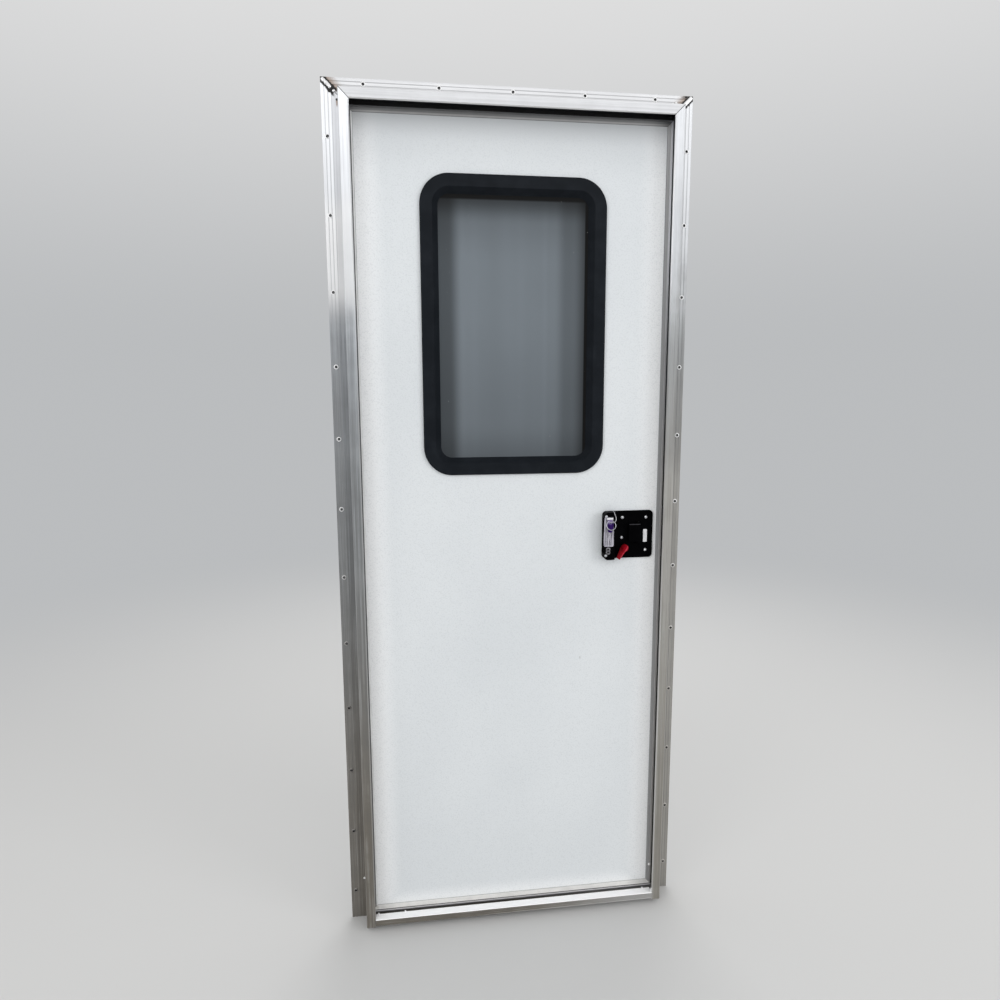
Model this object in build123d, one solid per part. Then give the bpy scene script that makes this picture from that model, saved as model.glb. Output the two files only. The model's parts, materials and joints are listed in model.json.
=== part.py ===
from build123d import *
import os

# Caravan entry door in its welded aluminium frame, closed, in millimetres.
# +X runs to the lock side, +Y out of the caravan and +Z up. The origin is on the seat face of the
# sill's flange, halfway along it and halfway up it.

# Frame: the opening and the section of its bars
clear_width = 669.4
clear_height = 1805.2
frame_depth = 56.1
rim_width = 20.9
rim_thickness = 3.5
rim_bevel = 2.0
rim_outer_bevel = 1.2
jamb_overrun = 3.5
wall = 2.5
flange_width = 37.5
flange_thickness = 2.5

# Frame: the screw line, the ridges on the seat face and the track on the outer face
hole_edge = 10.6
hole_radius = 2.3
hole_pitch = 154.1
lowest_hole = 55.8
groove_width = 2.0
groove_depth = 0.4
groove_offsets = (-10.8, -3.6, 3.6)
track_rib_offset = 7.5
track_rib_width = 1.6
track_rib_height = 3.5

# Sill
sill_rise = 15.1
tread_depth = 20.5
sill_plate = 3.0
sill_drop = 15.0
sill_edge = 1.5

# Door slab
face_setback = 36.1
lip_gap = 5.5
lip_thickness = 2.5
lip_overlap = 9.0
door_side_gap = 9.1
door_top_gap = 17.6
sweep_gap = 5.2
sweep_height = 5.8
sweep_thickness = 6.0
sweep_proud = 1.2
rail_face = 13.5
rail_crest = 9.0
bottom_crest = 12.0
rail_proud = 1.5
rail_fall = 2.0
skin = 2.0
seal_overlap = 7.5
seal_clearance = 0.3

# Hinges
hinge_from_hole = 0.5
leaf_height = 76.0
leaf_thickness = 2.5
door_leaf_width = 24.0
knuckle_radius = 4.5
knuckle_gap = 0.4
knuckle_relief = 0.6
knuckle_share = 26.0
hinge_axis_out = 5.4
hinge_axis_rise = 1.5
hinge_pin_radius = 2.5
hinge_pin_head = 2.0
running_gap = 0.05

# Window
window_width = 400.0
window_height = 628.6
window_drop = 123.5
window_corner = 62.0
ring_face = 26.0
ring_proud = 6.0
ring_edge = 2.5
throat_slope = 12.0
throat_depth = 14.0
cutout_gap = 1.0
glass_thickness = 4.0
glass_cover = 8.0
gasket_thickness = 3.0

# Lock, seen from inside
lock_backset = 82.2
lock_rise = 909.7
lock_width = 119.2
lock_height = 110.1
lock_plate = 4.0
lock_corner = 9.0

# Pull lip moulded along the hinge-side edge of the lock's plate
pull_lip_width = 27.0
pull_lip_proud = 19.0
pull_lip_round = 9.0
pull_lip_edge = 3.0
pull_lip_front = 4.5
pull_lip_end = 14.0
pull_lip_hollow = 15.0

# Inside handle
handle_width = 28.0
handle_height = 41.0
handle_thickness = 4.0
handle_edge = 1.2
handle_left_from_lock = 0.2
handle_low_from_lock = -16.2
handle_gap = 6.0
handle_axis_in = 4.0
handle_axis_rise = 4.0
handle_barrel = 3.2
handle_pin_radius = 1.5
handle_ear = 3.5
handle_ear_gap = 0.4
handle_ear_margin = 0.8

# Dead bolt lever
lever_x_from_lock = -9.0
lever_z_from_lock = -29.9
lever_hub = 8.3
lever_tip = 4.5
lever_length = 29.0
lever_thickness = 8.0
lever_edge = 1.5
lever_ridge = 3.0
lever_shoulder = 3.0
lever_gap = 6.0
lever_lean = 30.0
spindle_radius = 4.0
spindle_collar = 6.0
spindle_cap = 5.5
spindle_cap_height = 2.0
spindle_play = 0.3

# Outside of the lock, and the bolts on the door's edge
outer_lock_width = 100.0
outer_lock_height = 120.0
outer_lock_plate = 3.0
outer_lock_edge = 1.2
outer_pull_width = 64.0
outer_pull_height = 38.0
outer_pull_depth = 15.0
outer_pull_rise = 26.0
outer_pull_edge = 4.0
key_radius = 9.0
key_depth = 6.0
key_spread = 24.0
key_drop = 32.0
edge_plate = 1.0
edge_plate_width = 16.0
edge_plate_height = 120.0
bolt_reach = 1.0
bolt_width = 12.0
latch_bolt_height = 22.0
latch_bolt_rise = 28.3
dead_bolt_height = 15.0
dead_bolt_drop = 34.2
strike_thickness = 1.2
strike_width = 16.0
strike_slot_gap = 2.0

# Levels and faces that the pieces share
sill_z = sill_drop / 2
rim_x = clear_width / 2
rim_z = sill_z + clear_height
section = rim_width + flange_width
hole_line = section - hole_edge
wall_x = rim_x + rim_width - wall
wall_z = rim_z + rim_width - wall
flange_z = -sill_drop / 2
floor_z = sill_z + sill_plate
rib_top = flange_thickness + track_rib_height

face_y = face_setback - frame_depth
back_y = flange_thickness + lip_gap
lip_y = back_y + lip_thickness
door_x = wall_x - door_side_gap
door_top = wall_z - door_top_gap
door_low = floor_z + sweep_gap + sweep_height
panel_x = door_x - rail_face
panel_top = door_top - rail_face
panel_low = door_low + rail_face
lip_x = wall_x + lip_overlap
lip_top = wall_z + lip_overlap
lip_low = floor_z - lip_overlap

hinge_x = -(lip_x + hinge_axis_out)
hinge_y = lip_y + hinge_axis_rise
window_z = door_top - window_drop - window_height / 2
lock_x = door_x - lock_backset
lock_z = sill_z + lock_rise
lock_face = face_y - lock_plate
handle_left = lock_x + handle_left_from_lock
handle_z = lock_z + handle_low_from_lock
handle_back = lock_face - handle_gap
lever_x = lock_x + lever_x_from_lock
lever_z = lock_z + lever_z_from_lock
lever_back = lock_face - lever_gap
latch_bolt_z = lock_z + latch_bolt_rise
dead_bolt_z = lock_z - dead_bolt_drop

# The screw holes fill the jambs and the head at their pitch, and the hinges sit between holes
jamb_holes = int((clear_height - lowest_hole) // hole_pitch) + 1
head_holes = int(clear_width // hole_pitch) + 1
hinge_rows = (hinge_from_hole, (jamb_holes - 1) // 2 + hinge_from_hole, jamb_holes - 1 - hinge_from_hole)

# Half the opening's width is more than any bar's section, so a cut that long goes right through
reach = rim_x


def block(x, y, z):
    """A box between pairs of limits."""
    size = [high - low for low, high in (x, y, z)]
    middle = [(low + high) / 2 for low, high in (x, y, z)]
    return Pos(*middle) * Box(*size)


def upright(outline, y):
    """An outline in X and Z, made solid between two values of Y."""
    return extrude(Plane.XZ.offset(-y[1]) * outline, y[1] - y[0])


def rounded(width, height, radius, x, z):
    """A rectangle with round corners about a centre in X and Z."""
    return Pos(x, z) * RectangleRounded(width, height, radius)


def post(radius, x, y, z):
    """A round bar standing between two heights."""
    return Pos(x, y, (z[0] + z[1]) / 2) * Cylinder(radius, z[1] - z[0])


def stub(radius, x, z, y):
    """A round bar lying along Y."""
    return Pos(x, (y[0] + y[1]) / 2, z) * Rot(90, 0, 0) * Cylinder(radius, y[1] - y[0])


def polygon(points):
    return make_face(Polyline(points, close=True))


def mitred(ring, side, x, z):
    """The part of a ring on one side of the mitres that run out from the corners x, z."""
    low, high = z
    out = reach
    shapes = {
        "left": [(-x, low), (-x - out, low - out), (-x - out, high + out), (-x, high)],
        "right": [(x, low), (x + out, low - out), (x + out, high + out), (x, high)],
        "top": [(-x, high), (-x - out, high + out), (x + out, high + out), (x, high)],
        "bottom": [(-x, low), (-x - out, low - out), (x + out, low - out), (x, low)],
    }
    return ring & upright(polygon(shapes[side]), (-reach, reach))


def frame_section():
    """Half outline of a frame bar: distance out from the rim's inner edge, and Y."""
    front = -frame_depth
    points = [(0, front + rim_thickness), (0, front + rim_bevel), (rim_bevel, front)]
    points += [(rim_width - rim_outer_bevel, front), (rim_width, front + rim_outer_bevel), (rim_width, 0)]
    for offset in groove_offsets:
        low = hole_line + offset - groove_width / 2
        high = low + groove_width
        points += [(low, 0), (low, groove_depth), (high, groove_depth), (high, 0)]
    points += [(section, 0), (section, flange_thickness)]
    for side in (1, -1):
        middle = hole_line + side * track_rib_offset
        high = middle + track_rib_width / 2
        low = middle - track_rib_width / 2
        points += [(high, flange_thickness), (high, rib_top), (low, rib_top), (low, flange_thickness)]
    points += [(rim_width - wall, flange_thickness), (rim_width - wall, front + rim_thickness)]
    return points


def frame_bar(start, low, high):
    """A frame bar along Z, with its rim's inner edge at X = start."""
    outline = polygon([(start + out, y) for out, y in frame_section()])
    return extrude(Pos(0, 0, low) * outline, high - low)


def jamb_hole_heights():
    return [sill_z + lowest_hole + row * hole_pitch for row in range(jamb_holes)]


def screw_hole(x, z):
    return stub(hole_radius, x, z, (-flange_thickness, 2 * flange_thickness))


def strike_side_jamb():
    """The jamb on the lock side: its rim ends just below the sill, its flange runs on down."""
    bar = frame_bar(rim_x, flange_z, rim_z + section)
    bar -= block((rim_x, rim_x + section), (-frame_depth, 0), (flange_z, sill_z - jamb_overrun))
    bar = mitred(bar, "right", rim_x, (-reach, rim_z))
    for height in jamb_hole_heights():
        bar -= screw_hole(rim_x + hole_line, height)
    return bar


def head_bar():
    end = rim_x + section
    bar = Rot(0, -90, 0) * frame_bar(rim_z, -end, end)
    bar = mitred(bar, "top", rim_x, (0, rim_z))
    first = -(head_holes - 1) / 2
    for place in range(head_holes):
        bar -= screw_hole((first + place) * hole_pitch, rim_z + hole_line)
    return bar


def sill_bar():
    """Raised nose at the front, a flat plate under the door and a flange that turns down."""
    nose_back = tread_depth - frame_depth
    nose = block((-rim_x, rim_x), (-frame_depth, nose_back), (sill_z, sill_z + sill_rise))
    edges = nose.edges().filter_by(Axis.X).sort_by(Axis.Z)[-2:]
    nose = fillet(edges, sill_edge)
    plate = block((-wall_x, wall_x), (nose_back, flange_thickness), (sill_z, floor_z))
    flange = block((-wall_x, wall_x), (0, flange_thickness), (flange_z, floor_z))
    return nose + plate + flange


def rail_section(lip, bevel):
    """Outline of an edge rail: distance out from the panel's edge, and Y. The lip covers the gap."""
    crest = face_y - rail_proud
    points = [(0, face_y), (bevel, crest), (rail_face, crest + rail_fall), (rail_face, back_y)]
    return points + [(rail_face + lip, back_y), (rail_face + lip, lip_y), (0, lip_y)]


def rail_bar(start, lip, low, high, bevel=rail_crest):
    """An edge rail along Z, with its inner edge at X = start."""
    outline = polygon([(start + out, y) for out, y in rail_section(lip, bevel)])
    return extrude(Pos(0, 0, low) * outline, high - low)


def edge_rail(side):
    """One rail of the door's edge, cut to the mitres at the panel's corners."""
    if side in ("left", "right"):
        bar = rail_bar(panel_x, lip_x - door_x, lip_low, lip_top)
        bar = bar if side == "right" else mirror(bar, Plane.YZ)
    elif side == "top":
        bar = Rot(0, -90, 0) * rail_bar(panel_top, lip_top - door_top, -lip_x, lip_x)
    else:
        bar = Rot(0, 90, 0) * rail_bar(-panel_low, door_low - lip_low, -lip_x, lip_x, bottom_crest)
    return mitred(bar, side, panel_x, (panel_low, panel_top))


def seal_ring():
    """Soft seal on the lip, from the slab's edge out past the frame's wall, just clear of the flange."""
    y = (flange_thickness + seal_clearance, back_y)
    x = wall_x + seal_overlap
    outer = block((-x, x), y, (floor_z - seal_overlap, wall_z + seal_overlap))
    return outer - block((-door_x, door_x), y, (door_low, door_top))


def panel_layer(y):
    """One layer of the slab inside its rails, cut out for the window."""
    layer = block((-panel_x, panel_x), y, (panel_low, panel_top))
    hole = 2 * cutout_gap
    width = window_width - 2 * ring_face + hole
    height = window_height - 2 * ring_face + hole
    return layer - upright(rounded(width, height, window_corner - ring_face + cutout_gap, 0, window_z), y)


def window_outline(inset):
    width = window_width - 2 * inset
    height = window_height - 2 * inset
    return rounded(width, height, window_corner - inset, 0, window_z)


def window_ring(face, seat, depth):
    """Trim ring: a flat face, and a collar through the slab that narrows towards the glass.

    face is the ring's front, seat the slab's face and depth where the collar ends.
    """
    ways = 1 if depth > face else -1
    ring = upright(window_outline(0), sorted((face, seat)))
    rim = ring.edges().group_by(Axis.Y)[0 if ways > 0 else -1]
    ring = fillet(rim, ring_edge)
    ring += upright(window_outline(ring_face), sorted((seat, depth)))
    wide = Plane.XZ.offset(-face) * window_outline(ring_face)
    glass_y = face + ways * throat_depth
    narrow = Plane.XZ.offset(-glass_y) * window_outline(ring_face + throat_slope)
    throat = loft([wide, narrow])
    bore = upright(window_outline(ring_face + throat_slope), sorted((face, depth)))
    return ring - throat - bore


def frame_leaf(z):
    """Hinge leaf on the frame's track, with the two outer knuckles."""
    half = leaf_height / 2
    outer = -(rim_x + hole_line + track_rib_offset + track_rib_width / 2)
    y = (rib_top, rib_top + leaf_thickness)
    leaf = block((outer, hinge_x - knuckle_radius - knuckle_relief), y, (z - half, z + half))
    inner = knuckle_share / 2
    for low, high in ((z - half, z - inner), (z + inner, z + half)):
        leaf += block((hinge_x - knuckle_radius - knuckle_relief, hinge_x), (rib_top, hinge_y), (low, high))
        leaf += post(knuckle_radius, hinge_x, hinge_y, (low, high))
    return leaf - post(hinge_pin_radius + running_gap, hinge_x, hinge_y, (z - half, z + half))


def door_leaf(z):
    """Hinge leaf on the door's lip, with the middle knuckle."""
    half = leaf_height / 2
    inner = knuckle_share / 2 - knuckle_gap
    start = hinge_x + knuckle_radius + knuckle_relief
    y = (lip_y, lip_y + leaf_thickness)
    leaf = block((start, start + door_leaf_width), y, (z - half, z + half))
    leaf += block((hinge_x, start), y, (z - inner, z + inner))
    leaf += post(knuckle_radius, hinge_x, hinge_y, (z - inner, z + inner))
    return leaf - post(hinge_pin_radius + running_gap, hinge_x, hinge_y, (z - half, z + half))


def hinge_pin(z):
    half = leaf_height / 2
    pin = post(hinge_pin_radius, hinge_x, hinge_y, (z - half, z + half))
    return pin + post(knuckle_radius, hinge_x, hinge_y, (z + half, z + half + hinge_pin_head))


def lock_section():
    """Cut through the lock's plate: flat, and rising to the pull lip at its hinge-side edge."""
    left = lock_x - lock_width / 2
    right = lock_x + lock_width / 2
    lip_right = left + pull_lip_width
    front = lock_face - pull_lip_proud
    corners = [(left, face_y), (left, front), (lip_right, front), (lip_right, lock_face), (right, lock_face)]
    outline = polygon(corners + [(right, face_y)])
    ramp = outline.vertices().group_by(Axis.X)[1]
    outline = fillet(ramp, pull_lip_round)
    edge = outline.vertices().group_by(Axis.Y)[0].sort_by(Axis.X)[0]
    return fillet(edge, pull_lip_edge)


def lock_inner_plate():
    """Black plate on the inside, with a hollow pull lip and two ears that carry the handle's pin."""
    half = lock_height / 2
    plate = extrude(Pos(0, 0, lock_z - half) * lock_section(), lock_height)
    front = lock_face - pull_lip_proud
    plate &= upright(rounded(lock_width, lock_height, lock_corner, lock_x, lock_z), (front, face_y))
    left = lock_x - lock_width / 2
    reach_z = half - pull_lip_end
    plate -= block(
        (left, left + pull_lip_hollow),
        (front + pull_lip_front, lock_face),
        (lock_z - reach_z, lock_z + reach_z),
    )
    axis_x, axis_y = handle_axis()
    width = handle_barrel + handle_ear_margin
    top = handle_z + handle_height + handle_ear_gap
    low = handle_z - handle_ear_gap
    for z in ((top, top + handle_ear), (low - handle_ear, low)):
        plate += block((axis_x - width, axis_x + width), (axis_y - width, lock_face), z)
    bore = (low - handle_ear, top + handle_ear)
    return plate - post(handle_pin_radius + running_gap, axis_x, axis_y, bore)


def handle_axis():
    return handle_left + handle_width - handle_axis_in, lock_face - handle_axis_rise


def inside_handle_paddle():
    """Pull paddle that turns on an upright pin near its lock-side edge."""
    axis_x, axis_y = handle_axis()
    z = (handle_z, handle_z + handle_height)
    front = handle_back - handle_thickness
    paddle = block((handle_left, handle_left + handle_width), (front, handle_back), z)
    paddle = fillet(paddle.edges().group_by(Axis.Y)[0], handle_edge)
    paddle += block((axis_x - handle_barrel, axis_x + handle_barrel), (handle_back, axis_y), z)
    paddle += post(handle_barrel, axis_x, axis_y, z)
    return paddle - post(handle_pin_radius + running_gap, axis_x, axis_y, z)


def inside_handle_pin():
    axis_x, axis_y = handle_axis()
    over = handle_ear_gap + handle_ear
    return post(handle_pin_radius, axis_x, axis_y, (handle_z - over, handle_z + handle_height + over))


def lever_cut(half_width, z):
    """Cut across the lever's arm: a ridge off the middle, with a low shoulder on its hinge side."""
    front = lever_back - lever_thickness
    corners = [(-half_width, lever_back), (-half_width, lever_back - lever_shoulder), (lever_ridge, front)]
    corners += [(half_width, lever_back - lever_shoulder), (half_width, lever_back)]
    return Pos(0, 0, z) * polygon(corners)


def dead_bolt_lever():
    """Red lever: a round hub and a tapered, ridged arm that leans to the hinge side of straight down."""
    y = (lever_back - lever_thickness, lever_back)
    hub = stub(lever_hub, 0, 0, y)
    hub = fillet(hub.edges().group_by(Axis.Y)[0], lever_edge)
    lever = hub + loft([lever_cut(lever_tip, -lever_length), lever_cut(lever_hub, 0)])
    lever -= stub(spindle_radius + running_gap, 0, 0, y)
    return Pos(lever_x, 0, lever_z) * Rot(0, lever_lean, 0) * lever


def lever_spindle():
    """Spindle from the lock plate through the lever, with a collar behind and a cap in front."""
    front = lever_back - lever_thickness - spindle_play
    spindle = stub(spindle_radius, lever_x, lever_z, (front, lock_face))
    spindle += stub(spindle_collar, lever_x, lever_z, (lever_back + spindle_play, lock_face))
    return spindle + stub(spindle_cap, lever_x, lever_z, (front - spindle_cap_height, front))


def outer_lock():
    outline = rounded(outer_lock_width, outer_lock_height, lock_corner, lock_x, lock_z)
    plate = upright(outline, (back_y, back_y + outer_lock_plate))
    return fillet(plate.edges().group_by(Axis.Y)[-1], outer_lock_edge)


def outer_pull():
    """Fixed grip on the outside of the lock."""
    seat = back_y + outer_lock_plate
    front = seat + outer_pull_depth
    z = lock_z + outer_pull_rise
    pull = block(
        (lock_x - outer_pull_width / 2, lock_x + outer_pull_width / 2),
        (seat, front),
        (z - outer_pull_height / 2, z + outer_pull_height / 2),
    )
    return fillet(pull.edges().group_by(Axis.Y)[-1], outer_pull_edge)


def key_cylinders():
    seat = back_y + outer_lock_plate
    places = [lock_x + side * key_spread for side in (-1, 1)]
    return [stub(key_radius, x, lock_z - key_drop, (seat, seat + key_depth)) for x in places]


def edge_y(width):
    """Middle of the slab's edge, as a pair of limits that far apart."""
    middle = (face_y + back_y) / 2
    return middle - width / 2, middle + width / 2


def bolt_nose(height, z):
    """End of a bolt, drawn back so that it only just stands out of the edge plate."""
    start = door_x + edge_plate
    return block((start, start + bolt_reach), edge_y(bolt_width), (z - height / 2, z + height / 2))


def strike_plate():
    """Plate on the lock-side jamb with a slot opposite each bolt."""
    half = edge_plate_height / 2
    x = (wall_x - strike_thickness, wall_x)
    plate = block(x, edge_y(strike_width), (lock_z - half, lock_z + half))
    for height, z in ((latch_bolt_height, latch_bolt_z), (dead_bolt_height, dead_bolt_z)):
        slot = height / 2 + strike_slot_gap
        plate -= block(x, edge_y(bolt_width), (z - slot, z + slot))
    return plate


def latch_edge():
    half = edge_plate_height / 2
    x = (door_x, door_x + edge_plate)
    return block(x, edge_y(edge_plate_width), (lock_z - half, lock_z + half))


def bottom_sweep():
    front = face_y - sweep_proud
    y = (front, front + sweep_thickness)
    return block((-door_x, door_x), y, (door_low - sweep_height, door_low))


jamb = strike_side_jamb()
hinge_heights = [sill_z + lowest_hole + row * hole_pitch for row in hinge_rows]

ring_front = face_y - ring_proud
glass_front = ring_front + throat_depth
glass_back = glass_front + glass_thickness
gasket_back = glass_back + gasket_thickness
glass_inset = ring_face + throat_slope - glass_cover
glass = upright(window_outline(glass_inset), (glass_front, glass_back))
gasket = upright(window_outline(glass_inset), (glass_back, gasket_back))
gasket -= upright(window_outline(ring_face + throat_slope), (glass_back, gasket_back))

pieces = {
    "hinge_jamb": mirror(jamb, Plane.YZ),
    "strike_jamb": jamb,
    "head_jamb": head_bar(),
    "sill": sill_bar(),
    "strike_plate": strike_plate(),
    "hinge_frame_leaves": [frame_leaf(z) for z in hinge_heights],
    "hinge_pins": [hinge_pin(z) for z in hinge_heights],
    "hinge_door_leaves": [door_leaf(z) for z in hinge_heights],
    "hinge_rail": edge_rail("left"),
    "lock_rail": edge_rail("right"),
    "top_rail": edge_rail("top"),
    "bottom_rail": edge_rail("bottom"),
    "inner_skin": panel_layer((face_y, face_y + skin)),
    "foam_core": panel_layer((face_y + skin, back_y - skin)),
    "outer_skin": panel_layer((back_y - skin, back_y)),
    "door_seal": seal_ring(),
    "bottom_sweep": bottom_sweep(),
    "window_inner_ring": window_ring(ring_front, face_y, glass_front),
    "window_glass": glass,
    "window_gasket": gasket,
    "window_outer_ring": window_ring(back_y + ring_proud, back_y, gasket_back),
    "lock_plate": lock_inner_plate(),
    "inside_handle": inside_handle_paddle(),
    "inside_handle_pin": inside_handle_pin(),
    "dead_bolt_lever": dead_bolt_lever(),
    "lever_spindle": lever_spindle(),
    "outer_lock_plate": outer_lock(),
    "outer_pull": outer_pull(),
    "key_cylinders": key_cylinders(),
    "lock_edge_plate": latch_edge(),
    "latch_bolt": bolt_nose(latch_bolt_height, latch_bolt_z),
    "dead_bolt": bolt_nose(dead_bolt_height, dead_bolt_z),
}

os.makedirs("parts", exist_ok=True)
for name, shape in pieces.items():
    solid = Compound(children=shape) if isinstance(shape, list) else shape
    export_step(solid, "parts/" + name + ".step")
    print(name, round(sum(part.volume for part in solid.solids())), "cubic mm")
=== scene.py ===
# %% [markdown]
# # A caravan entry door, from solids to a portrait
#
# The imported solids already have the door's true sizes: a welded aluminium frame with a screw flange, a white
# slab, a framed window and a black lock. This lesson gives every solid its finish, models the small things
# that the solids leave out, and then sets a camera, a floor and soft lamps around them.

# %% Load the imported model
import json
import math
import random
from contextlib import contextmanager

import bmesh
import bpy
from mathutils import Matrix, Vector


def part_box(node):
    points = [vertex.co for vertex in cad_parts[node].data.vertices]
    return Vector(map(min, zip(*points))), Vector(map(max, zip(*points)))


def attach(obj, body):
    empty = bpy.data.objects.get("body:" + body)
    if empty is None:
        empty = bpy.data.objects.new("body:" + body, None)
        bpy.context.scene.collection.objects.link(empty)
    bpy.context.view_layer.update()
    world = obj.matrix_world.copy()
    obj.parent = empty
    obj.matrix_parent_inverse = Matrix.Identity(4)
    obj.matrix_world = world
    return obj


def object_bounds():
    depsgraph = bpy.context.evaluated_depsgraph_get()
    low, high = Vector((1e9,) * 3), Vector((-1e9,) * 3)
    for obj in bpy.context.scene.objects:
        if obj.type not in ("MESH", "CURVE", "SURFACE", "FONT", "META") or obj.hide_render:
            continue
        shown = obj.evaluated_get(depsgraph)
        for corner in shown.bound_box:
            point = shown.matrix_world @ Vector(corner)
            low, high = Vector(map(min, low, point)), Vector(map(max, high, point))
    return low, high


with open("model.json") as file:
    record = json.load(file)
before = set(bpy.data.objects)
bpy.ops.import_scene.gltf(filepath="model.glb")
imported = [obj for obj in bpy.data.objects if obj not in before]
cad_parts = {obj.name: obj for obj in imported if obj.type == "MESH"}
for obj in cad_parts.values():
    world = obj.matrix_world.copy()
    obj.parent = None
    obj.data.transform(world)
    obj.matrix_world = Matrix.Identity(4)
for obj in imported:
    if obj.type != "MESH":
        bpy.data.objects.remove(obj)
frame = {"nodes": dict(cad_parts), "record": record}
cad_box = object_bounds()
mm = 0.001

# %% [markdown]
# Every small piece sits on a solid, so its place is worked out from that solid's box. The frame is the same
# on both sides of the middle, so half widths are enough. The seat face of the flange is at Y = 0, and the
# inside of the caravan is towards minus Y.

# %% Read the places that the finishes and pieces share
jamb_low, jamb_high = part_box("strike_jamb")
head_low, head_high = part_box("head_jamb")
sill_low, sill_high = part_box("sill")
slab_low, slab_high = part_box("inner_skin")
lock_low, lock_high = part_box("lock_plate")
glass_low, glass_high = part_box("window_glass")

rim_x = jamb_low.x
rim_z = head_low.z
rim_width = 20.9 * mm
rim_edge_x = rim_x + rim_width
rim_edge_z = rim_z + rim_width
flange_x = jamb_high.x
flange_z = head_high.z
flange_out = flange_x - rim_x
hole_inset = 10.6 * mm
panel_face = slab_low.y
lock_plate_thickness = 4 * mm
lock_plate_face = panel_face - lock_plate_thickness
lip_face = lock_low.y
print("opening", round(2 * rim_x, 4), "wide, flange out to", round(flange_x, 4))

# %% [markdown]
# Finishes are procedural: each one is a sum of noises and masks on Object coordinates, which are metres in
# the part's own frame. Wiring Math nodes by hand is slow to read, so one small class wraps an output socket
# and lets Python write the sum. Colours go through Mix nodes, because a Math node would turn them grey.

# %% A wire that can be added, multiplied and mixed


class Wire:
    """One output of a shader node; arithmetic on it adds Math nodes."""

    def __init__(self, tree, socket):
        self.tree = tree
        self.socket = socket

    def node(self, kind, settings=None, sockets=None, output=0):
        """Adds a node: first its settings, then a value or a wire for each socket."""
        made = self.tree.nodes.new(kind)
        for name, value in (settings or {}).items():
            setattr(made, name, value)
        for name, value in (sockets or {}).items():
            feed(made.inputs[name], value)
        return Wire(self.tree, made.outputs[output])

    def math(self, operation, *values):
        return self.node("ShaderNodeMath", {"operation": operation}, dict(enumerate(values)))

    def __add__(self, other):
        return self.math("ADD", self, other)

    __radd__ = __add__

    def __sub__(self, other):
        return self.math("SUBTRACT", self, other)

    def __rsub__(self, other):
        return self.math("SUBTRACT", other, self)

    def __mul__(self, other):
        return self.math("MULTIPLY", self, other)

    __rmul__ = __mul__

    def __abs__(self):
        return self.math("ABSOLUTE", self)

    def larger(self, other):
        return self.math("MAXIMUM", self, other)

    def rises(self, low, high):
        """A soft step: 0 at low, 1 at high, either way round."""
        limits = {"Value": self, "From Min": low, "From Max": high}
        return self.node("ShaderNodeMapRange", {"interpolation_type": "SMOOTHSTEP"}, limits)

    def axes(self):
        """The three coordinates of a place."""
        split = self.node("ShaderNodeSeparateXYZ", {}, {0: self}).socket.node
        return [Wire(self.tree, socket) for socket in split.outputs]

    def noise(self, waves, detail=2.0, rough=0.5):
        """Noise about 0.5, with that many waves a metre: one number, or one each along X, Y and Z."""
        if isinstance(waves, (int, float)):
            waves = (waves, waves, waves)
        spread = self.node("ShaderNodeVectorMath", {"operation": "MULTIPLY"}, {0: self, 1: waves})
        settings = {"Vector": spread, "Scale": 1, "Detail": detail, "Roughness": rough}
        return self.node("ShaderNodeTexNoise", {}, settings)

    def distance(self, point):
        return self.node("ShaderNodeVectorMath", {"operation": "DISTANCE"}, {0: self, 1: point}, output=1)

    def mix(self, low, high):
        """A colour between two others: low where the wire is 0, high where it is 1."""
        return self.node("ShaderNodeMix", {"data_type": "RGBA"}, {0: self, 6: low, 7: high}, output=2)

    def relief(self, depth, strength=1.0):
        """A bump of that depth, in metres, from a height between 0 and 1."""
        return self.node("ShaderNodeBump", {}, {"Height": self, "Distance": depth, "Strength": strength})


def feed(socket, value):
    """Links a wire to a socket, or sets the socket's own value."""
    if isinstance(value, Wire):
        value.tree.links.new(value.socket, socket)
    elif socket.type == "RGBA":
        socket.default_value = (*value, 1)
    else:
        socket.default_value = value


def grey(level):
    return (level, level, level)


def dimmed(tone, share):
    return [share * part for part in tone]


def new_finish(name, recipe, *values, **named):
    """A material: its recipe gets the Object coordinates and gives what the shader's sockets take."""
    finish = bpy.data.materials.new(name)
    finish.use_nodes = True
    tree = finish.node_tree
    place = Wire(tree, tree.nodes.new("ShaderNodeTexCoord").outputs["Object"])
    for socket, value in recipe(place, *values, **named).items():
        feed(tree.nodes["Principled BSDF"].inputs[socket], value)
    print("finish", name, "has", len(tree.nodes), "nodes")
    return finish


def cover(finish, *names):
    """Gives a finish to solids, in the material slots that they came with."""
    for name in names:
        for slot in frame["nodes"][name].material_slots:
            slot.material = finish


# %% [markdown]
# The frame is mill-finish aluminium: bare metal with the die's drawing lines along each bar. It is bright at
# the top; lower down it is dull and brown, more so on the hinge side, partly with tarnish and partly as a
# painted reflection of a dark ground. The grooves of the flange are painted dark with shade, the bands between
# them and the edges of the rim carry painted highlights, and a few lengths of the uprights carry painted
# reflections. The bars meet in mitres that are welded on the flange, and the welds have blackened the metal
# around them. Noise stretched along a bar makes the lines, and distances from the rim and from the mitre place
# all the rest.

# %% Mill-finish aluminium for the jambs, the head and the sill
seam_half_width = 0.45 * mm
soot_black = 6.2 * mm
soot_reach = 8.8 * mm
scorch_reach = 24 * mm
burn_spots = (
    (-382.0, 1868.0, 2.4), (-389.9, 1860.8, 2.8), (-375.0, 1845.4, 4.4), (-368.7, 1842.8, 2.6),
    (-356.7, 1849.9, 2.4), (374.6, 1845.4, 2.6), (377.6, 1868.6, 3.4), (370.2, 1851.8, 3.0),
    (388.4, 1860.2, 2.4), (362.5, 1852.6, 1.5), (-361.4, 1829.1, 2.6),
)
drip_x = -361.4 * mm
drip_top = 1829.1 * mm
drip_end = 1814 * mm
tread_z = sill_high.z - 1 * mm
# The origin is halfway up the flange of the sill, and the nose starts where that flange ends.
nose_low = -sill_low.z


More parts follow.
